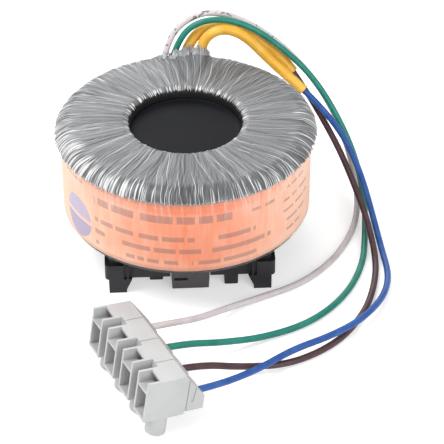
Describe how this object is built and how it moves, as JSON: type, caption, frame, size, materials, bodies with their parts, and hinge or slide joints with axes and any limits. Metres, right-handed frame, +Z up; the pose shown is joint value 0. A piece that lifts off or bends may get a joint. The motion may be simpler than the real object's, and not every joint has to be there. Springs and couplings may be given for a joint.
{
  "type": "toroidal transformer",
  "caption": "Ring-shaped mains transformer in clear film on a round rail-mount base with a sprung latch, with coloured leads to a small terminal housing.",
  "frame": {"origin": "on the ring's axis, at the level of the bottoms of the base's feet", "axes": "+Z up along the ring's axis; -Y towards the latch and the terminal housing; +X to the side where the leads come round; the rail runs along X"},
  "size_m": [0.1071, 0.1419, 0.0614],
  "materials": {
    "base_plastic": "black moulded plastic with a fine even grain",
    "core_steel": "wound electrical steel strip",
    "insulation_tape": "polyester insulating tape",
    "copper_wire": "enamelled copper winding wire, laid side by side",
    "winding_tape": "pale polyester tape wrapped round the ring",
    "label_paper": "orange printed paper label",
    "clear_film": "clear shrunk film, pleated over the top",
    "potting_resin": "dark cast resin, slightly glossy",
    "latch_plastic": "black moulded plastic, polished by use",
    "spring_steel": "bright spring steel",
    "housing_plastic": "pale grey moulded plastic, satin",
    "sleeve_pvc": "yellow insulating sleeve",
    "lead_white": "off-white flexible insulation",
    "lead_green": "blue-green flexible insulation",
    "lead_brown": "dark brown flexible insulation",
    "lead_blue": "blue flexible insulation",
    "tinned_copper": "tinned stranded copper",
    "contact_metal": "plated brass strip"
  },
  "bodies": {
    "transformer": {"mounting_base": "base_plastic", "core": "core_steel", "core_insulation": "insulation_tape", "primary_winding": "copper_wire", "interwinding_wrap": "insulation_tape", "secondary_winding": "copper_wire", "winding_wrap": "winding_tape", "rating_label": "label_paper", "outer_film": "clear_film", "centre_potting": "potting_resin", "latch_spring": "spring_steel", "terminal_housing": "housing_plastic", "lead_white": "lead_white", "conductor_white": "tinned_copper", "contact_white": "contact_metal", "grip_spring_white": "spring_steel", "lead_green": "lead_green", "conductor_green": "tinned_copper", "contact_green": "contact_metal", "grip_spring_green": "spring_steel", "lead_brown": "lead_brown", "conductor_brown": "tinned_copper", "contact_brown": "contact_metal", "grip_spring_brown": "spring_steel", "lead_blue": "lead_blue", "conductor_blue": "tinned_copper", "contact_blue": "contact_metal", "grip_spring_blue": "spring_steel", "sleeve_brown": "sleeve_pvc", "sleeve_blue": "sleeve_pvc"},
    "latch": {"rail_latch": "latch_plastic"}
  },
  "joints": [
    {"name": "latch_pull", "type": "slide", "parent": "transformer", "child": "latch", "axis": [0, -1, 0], "range_m": [0, 0.004], "stiffness_N_per_m": 900, "springref_m": -0.003, "deforming": ["latch_spring"]}
  ]
}
